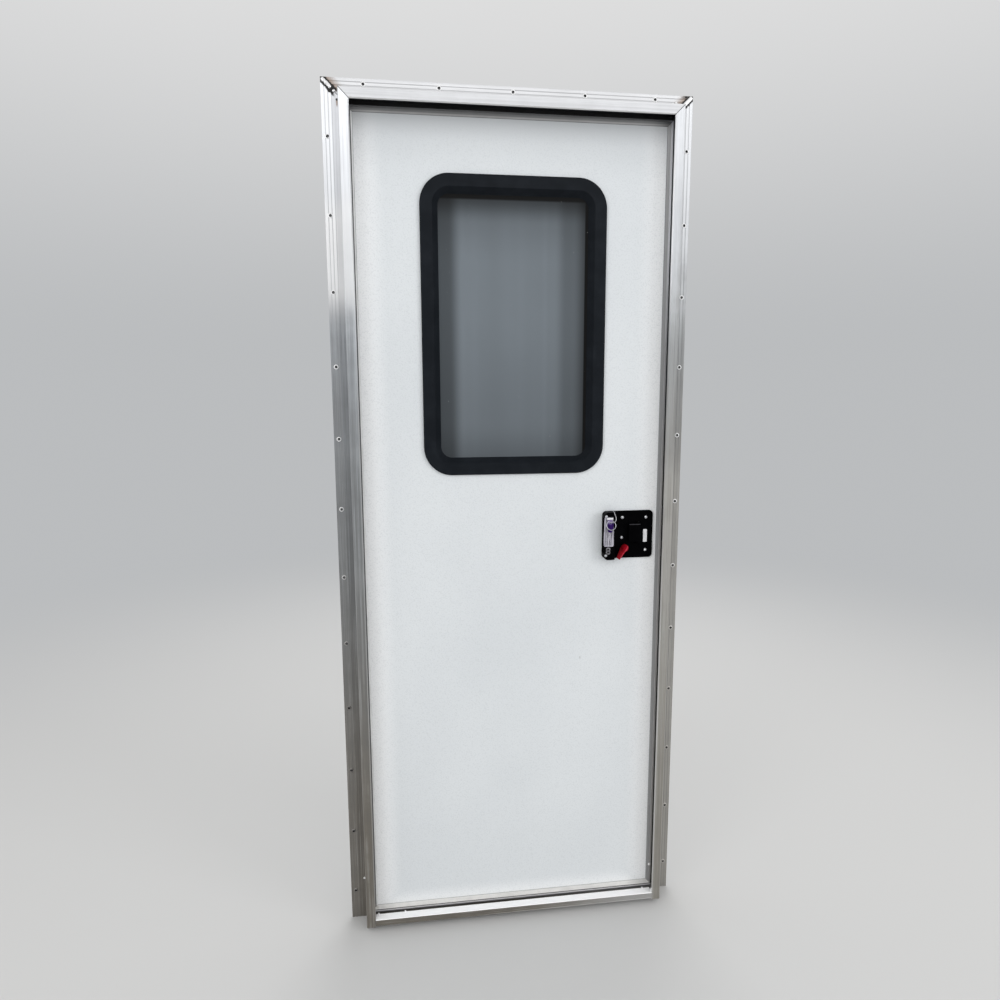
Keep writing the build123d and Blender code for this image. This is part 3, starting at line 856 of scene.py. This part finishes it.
def weld_bead(start, end, drops, half_width, height, unevenness, seed, face=0):
    """Drops from start to end, as X and Z in millimetres, on a face at that Y: the flange's, if not given."""
    draw = random.Random(seed)
    slope = math.atan2(end[1] - start[1], end[0] - start[0])
    made = []
    for drop in range(drops):
        share = drop / max(drops - 1, 1)
        size = 1 + draw.uniform(-unevenness, unevenness)
        x = start[0] + share * (end[0] - start[0]) + draw.uniform(-1, 1) * unevenness * half_width
        z = start[1] + share * (end[1] - start[1]) + draw.uniform(-1, 1) * unevenness * half_width
        made.append(added(
            bpy.ops.mesh.primitive_uv_sphere_add,
            segments=20, ring_count=12, radius=mm,
            location=(x * mm, (face + 0.3) * mm, z * mm),
            rotation=(0, -slope, 0),
            scale=(0.75 * half_width * size, height * size, half_width * size),
        ))
    bead = joined(made)
    apply_modifier(bead, "REMESH", mode="VOXEL", voxel_size=weld_voxel)
    apply_modifier(bead, "SMOOTH", factor=0.5, iterations=3)
    return bead


weld = new_finish("weld_metal", weld_metal)
for name, beads in (
    ("left_corner_weld", (
        ((-389.0, 1867.4), (-374.0, 1852.2), 9, 4.1, 2.6, 0.16, 3),
        ((-368.2, 1846.8), (-366.4, 1845.2), 3, 2.6, 1.9, 0.25, 8),
    )),
    ("right_corner_weld", (
        ((389.2, 1867.2), (375.2, 1853.4), 11, 4.2, 2.6, 0.05, 4),
        ((357.2, 1856.0), (355.8, 1856.6), 2, 2.2, 1.0, 0.2, 9),
        ((349.4, 1855.8), (348.4, 1855.6), 2, 1.9, 0.9, 0.2, 12),
    )),
    ("sill_weld_drops", (
        ((-329.6, 23.8), (-328.4, 23.6), 2, 1.9, 1.8, 0.1, 14, tread_back),
        ((-266.7, 23.6), (-265.5, 23.6), 2, 1.9, 1.8, 0.1, 15, tread_back),
        ((315.9, 23.6), (317.1, 23.6), 2, 1.9, 1.8, 0.1, 16, tread_back),
        ((333.8, 31.0), (334.2, 23.4), 5, 1.7, 2.4, 0.16, 17, sill_end_face),
    )),
):
    settle(joined([weld_bead(*bead) for bead in beads]), name, weld, "frame", 60)

# %% [markdown]
# Screws hold the lock, the hinges and the edge plates. A head is the cap of a sphere: the sphere is bisected
# so that the cap has the right width and height, and a cross of two bars is cut into it. The head is
# modelled once facing inwards, along minus Y, and turned where it is used.

# %% Domed screw heads


def cap(radius, **settings):
    """The part of a ball in front of Y = 0, closed where the plane bisects it."""
    ball = added(bpy.ops.mesh.primitive_uv_sphere_add, radius=radius, rotation=facing_in, **settings)
    with editing(ball):
        bpy.ops.mesh.bisect(plane_co=(0, 0, 0), plane_no=(0, 1, 0), use_fill=True, clear_outer=True)
    return ball


def screw_model(radius, height):
    """A domed head with a cross recess; radius and height in millimetres, its seat at Y = 0."""
    ball = (radius ** 2 + height ** 2) / (2 * height)
    head = cap(ball * mm, segments=28, ring_count=28, location=(0, (ball - height) * mm, 0))
    narrow = 0.13 * radius
    wide = 0.575 * radius
    for x, z in ((narrow, wide), (wide, narrow)):
        bar, _ = block((-x, -z), (x, z), 1.1 * height, -height * mm)
        combine(head, bar)
    return head


lock_screws = []
for radius, height, face, seed, spots in (
    (3.8, 2.2, lock_plate_face, 21, ((248.9, 956.6), (305.1, 956.0), (248.2, 909.8), (305.2, 879.6))),
    (3.1, 1.6, lip_face, 22, ((205.9, 962.9), (205.9, 872.5))),
):
    places = [(x * mm, face, z * mm) for x, z in spots]
    lock_screws.append(copies(screw_model(radius, height), places, row_turn(seed)))
settle(joined(lock_screws), "lock_screws", zinc, "door", 35)

# %% [markdown]
# On the outside, three screws hold each hinge leaf. The heads face the other way, so each copy is turned half
# round about Z. The edge plate and the strike have two screws each, which face sideways.

# %% Hinge, edge plate and strike screws
leaf_screw_step = 25 * mm
frame_leaf_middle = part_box("hinge_frame_leaves")[0].x + 9.1 * mm
frame_leaf_face = 8.5 * mm
door_leaf_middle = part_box("hinge_door_leaves")[1].x - 12 * mm
door_leaf_face = 13 * mm
hinge_heights = [lowest_hole + (row + 0.5) * hole_pitch for row in (0, (jamb_rows - 1) // 2, jamb_rows - 2)]
for x, face, body, name in (
    (frame_leaf_middle, frame_leaf_face, "frame", "frame_leaf_screws"),
    (door_leaf_middle, door_leaf_face, "door", "door_leaf_screws"),
):
    places = [(x, face, height + step * leaf_screw_step) for height in hinge_heights for step in (-1, 0, 1)]
    heads = copies(screw_model(3.6, 1.3), places, lambda: (0, 0, math.pi))
    settle(heads, name, zinc, body, 35)

plate_screw_rise = 52 * mm
lock_middle = (lock_low + lock_high) / 2
edge_low, edge_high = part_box("lock_edge_plate")
strike_low, strike_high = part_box("strike_plate")
for x, y, turn, body, name in (
    (edge_high.x, (edge_low.y + edge_high.y) / 2, math.pi / 2, "door", "edge_plate_screws"),
    (strike_low.x, (strike_low.y + strike_high.y) / 2, -math.pi / 2, "frame", "strike_screws"),
):
    places = [(x, y, lock_middle.z + way * plate_screw_rise) for way in (-1, 1)]
    pair = copies(screw_model(3.0, 0.7), places, lambda: (0, 0, turn))
    settle(pair, name, zinc, body, 35)

# %% [markdown]
# Two small rivets are painted near white and hardly metallic, as a painted glint: one low on the lock rail and
# one on the hinge jamb's flange, close to the rim. They are the same kind of cap without the cross, flattened,
# with an inset seat.

# %% Rivets


def bright_rivet(place):
    dents = place.noise(700, 3)
    return {
        # Near white with little metal: a painted glint.
        "Base Color": dents.rises(0.3, 0.6).mix((0.8, 0.8, 0.79), (0.98, 0.98, 0.97)),
        "Metallic": 0.05,
        "Roughness": 0.25 + dents * 0.15,
        "Normal": dents.relief(0.1 * mm, 0.3),
    }


def rivet_model(radius, height):
    """A plain domed head; radius and height in millimetres, its seat at Y = 0."""
    head = cap(radius * mm, segments=20, ring_count=14, scale=(1, 1, height / radius))
    with editing(head):
        choose(head, "faces", lambda face: face.normal.y > 0.9)
        bpy.ops.mesh.inset(thickness=0.3 * mm)
    return head


rivet_metal = new_finish("bright_rivet", bright_rivet)
rail_crest_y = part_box("lock_rail")[0].y
for radius, height, place, body, name in (
    (3.8, 2.5, (338.8 * mm, rail_crest_y + 0.1 * mm, 74.4 * mm), "door", "lock_rail_rivet"),
    (2.7, 1.6, (-361.4 * mm, 0.1 * mm, 93 * mm), "frame", "hinge_jamb_rivet"),
):
    rivet = rivet_model(radius, height)
    rivet.location = place
    settle(rivet, name, rivet_metal, body, 50)

# %% [markdown]
# The lock's own label is a small white sticker. It stays blank here. A thin box is enough, with its four
# corners rounded by a bevel.

# %% Blank sticker on the lock
label_box = ((299.2, 898.2), (308.2, 928.0))
label_thickness = 0.25
label_corner = 1.2


def paper_white(place):
    fibre = place.noise((1200, 1200, 300), 3)
    smear = place.noise((160, 160, 90), 4)
    white = smear.rises(0.45, 0.75).mix((0.82, 0.82, 0.83), (0.68, 0.68, 0.7))
    return {
        "Base Color": white,
        "Roughness": 0.5 + fibre * 0.2,
        "Normal": fibre.relief(0.04 * mm, 0.3),
    }


def sticker(low, high, thickness, corner, face):
    """A rounded card between two corners, given as X and Z in millimetres, on a face at that Y."""
    card, _ = block(low, high, thickness, face - thickness / 2 * mm)
    with editing(card):
        choose(card, "edges", lambda edge: abs(edge.verts[0].co.y - edge.verts[1].co.y) > thickness / 2 * mm)
        bpy.ops.mesh.bevel(offset=corner * mm, segments=4)
    return card


paper = new_finish("sticker_paper", paper_white)
label = sticker(*label_box, label_thickness, label_corner, lock_plate_face)
settle(label, "blank_sticker", paper, "door", 30)

# %% [markdown]
# A split ring with a purple key hangs in front of the pull lip, held by a bent wire that comes over the top
# of the plate. The ring is a small circle of edges swept almost twice round by a Screw modifier, so that its
# two turns lie side by side as on a real split ring.

# %% Split key ring
ring_middle = Vector((215.3, 0, 943.3)) * mm
ring_radius = 10.5 * mm
ring_wire = 0.62 * mm
ring_turns = 690 / 360
ring_steps = 120
sleeve_y = lip_face - 1.3 * mm
hang_y = lip_face - 4.2 * mm


def split_ring():
    ring = added(
        bpy.ops.mesh.primitive_circle_add,
        vertices=10, radius=ring_wire, location=(ring_radius, 0, 0), rotation=facing_in,
    )
    apply_modifier(
        ring, "SCREW", axis="Z", angle=ring_turns * math.tau, screw_offset=1.9 * ring_wire * ring_turns,
        steps=ring_steps, render_steps=ring_steps, use_merge_vertices=True,
    )
    with editing(ring):
        choose(ring, "edges", lambda edge: edge.is_boundary)
        bpy.ops.mesh.edge_face_add()
    ring.rotation_euler = (math.radians(72), math.radians(8), math.radians(-6))
    ring.location = (ring_middle.x, hang_y - 3.1 * ring_wire, ring_middle.z)
    return ring


settle(split_ring(), "split_key_ring", zinc, "door", 50)

# %% [markdown]
# The key has a purple moulded head, wide at the top and drawn in towards the blade. A cube is subdivided, its
# lower rows and its top row are scaled in, a subdivision surface rounds it, and a hole is cut for the ring.
# The plastic is paler at the top, where it is rubbed.

# %% Purple key head
key_box = ((206.4, 927.2), (222.0, 955.4))
key_low = key_box[0][1] * mm
key_top = key_box[1][1] * mm
key_thickness = 2.6
eye_radius = 2.2 * mm
eye_drop = 5.5 * mm


def purple_plastic(place):
    z = place.axes()[2]
    swirl = place.noise((260, 260, 160), 3)
    purple = swirl.rises(0.3, 0.7).mix((0.014, 0.003, 0.055), (0.034, 0.009, 0.115))
    rubbed = (z + (swirl - 0.5) * (12 * mm)).rises(key_top - 11 * mm, key_top - 2 * mm)
    purple = (rubbed * 0.6).mix(purple, (0.36, 0.3, 0.5))
    return {
        "Base Color": purple,
        "Roughness": 0.28 + swirl * 0.15,
        "Specular IOR Level": 0.1,
        "Normal": swirl.relief(0.05 * mm, 0.2),
    }


def key_head():
    head, middle = block(*key_box, key_thickness, hang_y + 0.3 * mm)
    quarter = (key_top - key_low) / 4
    with editing(head):
        bpy.ops.mesh.subdivide(number_cuts=3)
        for row, across, deep in ((key_low, 0.5, 0.8), (key_low + quarter, 0.8, 0.9), (key_top, 0.78, 0.9)):
            choose(head, "verts", lambda vert: abs(vert.co.z - row) < 0.1 * quarter)
            bpy.ops.transform.resize(value=(across, deep, 1), center_override=middle)
    apply_modifier(head, "SUBSURF", levels=2, render_levels=2)
    combine(head, disc(eye_radius, 8 * mm, (middle[0], middle[1], key_top - eye_drop), 20))
    return head


purple = new_finish("purple_plastic", purple_plastic)
settle(key_head(), "purple_key_head", purple, "door", 45)

# %% [markdown]
# Below it shows the bare end of a second key, a flat figure of eight with two holes. Two thin cylinders are
# united, the holes are cut through, and the edges are bevelled so that they catch the light.

# %% Bare key end
key_end_middle = Vector((210.8, 0, 883.6)) * mm
key_end_radius = 5.2 * mm
key_end_hole = 2.1 * mm
key_end_step = 3.4 * mm
key_end_thickness = 1.4 * mm


def dull_nickel(place):
    wear = place.noise(330, 3)
    nickel = wear.rises(0.35, 0.7).mix((0.1, 0.096, 0.105), (0.3, 0.29, 0.31))
    return {
        "Base Color": nickel,
        "Metallic": 0.6,
        "Roughness": 0.35 + wear * 0.2,
        "Normal": wear.relief(0.1 * mm, 0.3),
    }


def key_end():
    y = lip_face - key_end_thickness / 2 - 0.3 * mm
    places = [(key_end_middle.x, y, key_end_middle.z + way * key_end_step) for way in (1, -1)]
    plate, lower = [disc(key_end_radius, key_end_thickness, place) for place in places]
    combine(plate, lower, "UNION")
    for place in places:
        combine(plate, disc(key_end_hole, 4 * key_end_thickness, place))
    apply_modifier(plate, "BEVEL", width=0.3 * mm, segments=2, limit_method="ANGLE")
    return plate


nickel = new_finish("dull_nickel", dull_nickel)
settle(key_end(), "bare_key_end", nickel, "door", 35)

# %% [markdown]
# A clear plastic sleeve hangs behind the ring and the purple key. It is thin and creased, so it starts as a
# flat box that is cut into a grid, shaken by random offsets, smoothed until only soft folds are left, and
# narrowed towards the top. Its material is milky: white along its left side and its hem, and streaked by
# upright creases through which the black of the lock shows. A blank white bar closes it at the top.

# %% Clear sleeve
sleeve_box = ((200.4, 894.0), (223.6, 961.5))
sleeve_depth = 1.3
bar_box = ((206.4, 956.4), (221.0, 960.0))
bar_thickness = 0.6
bar_corner = 0.8


def clear_plastic(place):
    x, _, z = place.axes()
    left, low = [part * mm for part in sleeve_box[0]]
    creases = place.noise((520, 520, 26), 3, 0.6)
    clouds = place.noise((90, 90, 60), 2)
    film = creases.rises(0.42, 0.58)
    hem = z.rises(low + 4 * mm, low + 1.5 * mm)
    seam = x.rises(left + 4.5 * mm, left + 2 * mm)
    milky = film * 0.42 + clouds * 0.06
    return {
        "Base Color": (film * 0.6 + clouds * 0.4).mix((0.16, 0.15, 0.2), (0.8, 0.78, 0.86)),
        "Roughness": 0.22 + clouds * 0.2,
        "Alpha": 0.08 + milky.larger(hem.larger(seam) * 0.7),
        "Normal": creases.relief(0.25 * mm, 0.4),
    }


def clear_sleeve():
    sleeve, middle = block(*sleeve_box, sleeve_depth, sleeve_y)
    with editing(sleeve):
        bpy.ops.mesh.subdivide(number_cuts=15)
        bpy.ops.transform.vertex_random(offset=0.45 * mm, uniform=1, normal=0, seed=6)
        bpy.ops.mesh.vertices_smooth(factor=0.5, repeat=4)
        choose(sleeve, "verts", lambda vert: vert.co.z > middle[2])
        bpy.ops.transform.resize(value=(0.95, 1, 1), center_override=middle)
    apply_modifier(sleeve, "SUBSURF", levels=1, render_levels=1)
    return sleeve


clear = new_finish("clear_plastic", clear_plastic)
settle(clear_sleeve(), "clear_sleeve", clear, "door", 60)
bar = sticker(*bar_box, bar_thickness, bar_corner, sleeve_y - 0.9 * mm)
settle(bar, "sleeve_bar", paper, "door", 30)

# %% [markdown]
# The wire that carries the ring comes over the top edge of the lock's plate, runs down in front of it, turns
# under the ring and ends beside the sleeve. A curve through a few listed points is given a round section and
# turned into a mesh.

# %% Bent wire
wire_points = (
    (223.4, -21.2, 973.2), (223.3, -30, 974.0), (223.1, -41, 974.2), (223.3, -45.4, 972.6),
    (223.9, -46.4, 968.9), (226.4, -47.6, 963.2), (227.2, -48.6, 958.4), (226.2, -49.4, 953.6),
    (222.9, -49.8, 950.4), (217.0, -49.4, 949.9), (211.6, -48.6, 951.2), (208.7, -48.0, 952.9),
)
wire_radius = 0.55 * mm


def bent_wire():
    line = bpy.data.curves.new("bent_wire", "CURVE")
    line.dimensions = "3D"
    spline = line.splines.new("NURBS")
    spline.points.add(len(wire_points) - 1)
    for point, place in zip(spline.points, wire_points):
        point.co = (*[part * mm for part in place], 1)
    spline.order_u = 3
    spline.use_endpoint_u = True
    line.bevel_depth = wire_radius
    line.bevel_resolution = 3
    line.use_fill_caps = True
    select_only(put("bent_wire", line))
    bpy.ops.object.convert(target="MESH")
    return bpy.context.object


settle(bent_wire(), "bent_wire", zinc, "door", 60)

# %% [markdown]
# The two key cylinders on the outside need their keyways. A disc with a slot cut through it sits on each, and
# the slot stays dark because little light reaches its floor.

# %% Keyways on the outside
cylinders_low, cylinders_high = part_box("key_cylinders")
cylinder_radius = 9 * mm
keyway_radius = 7.2 * mm
keyway_thickness = 1.2 * mm
keyway_slot = (1.7 * mm, 6 * mm, 9 * mm)


def keyways():
    faces = []
    for x in (cylinders_low.x + cylinder_radius, cylinders_high.x - cylinder_radius):
        place = (x, cylinders_high.y + 0.2 * mm, (cylinders_low.z + cylinders_high.z) / 2)
        face = disc(keyway_radius, keyway_thickness, place)
        combine(face, added(bpy.ops.mesh.primitive_cube_add, size=1, location=place, scale=keyway_slot))
        apply_modifier(face, "BEVEL", width=0.25 * mm, segments=2, limit_method="ANGLE")
        faces.append(face)
    return joined(faces)


settle(keyways(), "keyways", zinc, "door", 35)

# %% [markdown]
# The camera is a plain one at the place from which the door was photographed: a little to its left, at chest
# height, about a metre and a half away, tipped down and rolled by a fraction of a degree. Its focal length is
# the one that makes the frame's straight edges meet their places in the picture.

# %% Camera
camera_place = (-0.24045, -1.56119, 1.23806)
camera_turn = math.radians(7.651)
camera_tip = math.radians(-8.583)
camera_roll = math.radians(-0.223)
camera_lens = 25.327
sensor_width = 36

lens = bpy.data.cameras.new("camera")
lens.lens = camera_lens
lens.sensor_width = sensor_width
camera = put("camera", lens)
camera.matrix_world = (
    Matrix.Translation(camera_place)
    @ Matrix.Rotation(-camera_turn, 4, "Z")
    @ Matrix.Rotation(math.pi / 2 + camera_tip, 4, "X")
    @ Matrix.Rotation(camera_roll, 4, "Z")
)
bpy.context.scene.camera = camera
print("camera looks along", tuple(round(part, 3) for part in -camera.matrix_world.col[2].xyz))

# %% [markdown]
# The floor is a wide pale disc. Near the door it is a plain matt surface that takes the shadow; far out it
# fades into the colour of the backdrop, so no horizon line shows from any side. The backdrop is the world
# itself: grey at eye level and brighter overhead, which is also what the bare metal reflects.

# %% Floor and backdrop
floor_z = cad_box[0].z
floor_radius = 9.0
fade_start = 1.3
fade_end = 4.5
backdrop = (0.66, 0.675, 0.69)
overhead = (1.0, 1.0, 1.0)
sky_strength = 0.75

floor = added(
    bpy.ops.mesh.primitive_circle_add,
    vertices=96, radius=floor_radius, fill_type="NGON", location=(0, 0, floor_z),
)
floor.name = "floor"

floor_finish = new_finish("floor", lambda place: {"Base Color": (0.58, 0.58, 0.575), "Roughness": 0.85})
tree = floor_finish.node_tree
floor_place = Wire(tree, tree.nodes["Texture Coordinate"].outputs["Object"])
matt = Wire(tree, tree.nodes["Principled BSDF"].outputs[0])
away = floor_place.distance((0, 0, floor_z)).rises(fade_start, fade_end)
glow = away.node("ShaderNodeEmission", {}, {"Color": backdrop, "Strength": sky_strength})
surface = away.node("ShaderNodeMixShader", {}, {0: away, 1: matt, 2: glow})
feed(tree.nodes["Material Output"].inputs["Surface"], surface)
floor.data.materials.append(floor_finish)

world = bpy.data.worlds.new("studio")
bpy.context.scene.world = world
world.use_nodes = True
sky_nodes = world.node_tree
direction = Wire(sky_nodes, sky_nodes.nodes.new("ShaderNodeTexCoord").outputs["Generated"])
sky = direction.axes()[2].rises(0.05, 0.55).mix(backdrop, overhead)
feed(sky_nodes.nodes["Background"].inputs["Color"], sky)
feed(sky_nodes.nodes["Background"].inputs["Strength"], sky_strength)
print("floor at", round(floor_z, 4), "fades from", fade_start, "to", fade_end, "metres out")

# %% [markdown]
# Wide lamps make the soft light of an open sky. The key hangs high in front, where the top of the frame
# mirrors it; two more light the panel from the sides, out of sight of the frame's mirror; and one stands
# behind, so that the outside of the door is lit in the other views.

# %% Lamps


def soft_lamp(name, place, target, size, power):
    lamp = bpy.data.lights.new(name, "AREA")
    lamp.shape = "RECTANGLE"
    lamp.size = size[0]
    lamp.size_y = size[1]
    lamp.energy = power
    holder = put(name, lamp)
    holder.location = place
    aim = Vector(target) - Vector(place)
    holder.rotation_euler = aim.to_track_quat("-Z", "Y").to_euler()
    print(name, power, "watts")


soft_lamp("key_lamp", (0.3, -3.2, 3.5), (0, 0, 1.2), (5.0, 2.0), 26)
soft_lamp("left_lamp", (-3.0, -2.9, 1.8), (0, 0, 0.9), (1.8, 2.4), 40)
soft_lamp("right_lamp", (3.7, -2.9, 1.8), (0, 0, 0.9), (1.8, 2.4), 58)
soft_lamp("back_lamp", (0.8, 3.2, 3.2), (0, 0, 0.9), (3.0, 2.2), 55)

# %% [markdown]
# Last, the view settings stay plain.

# %% View settings
bpy.context.scene.view_settings.view_transform = "Standard"
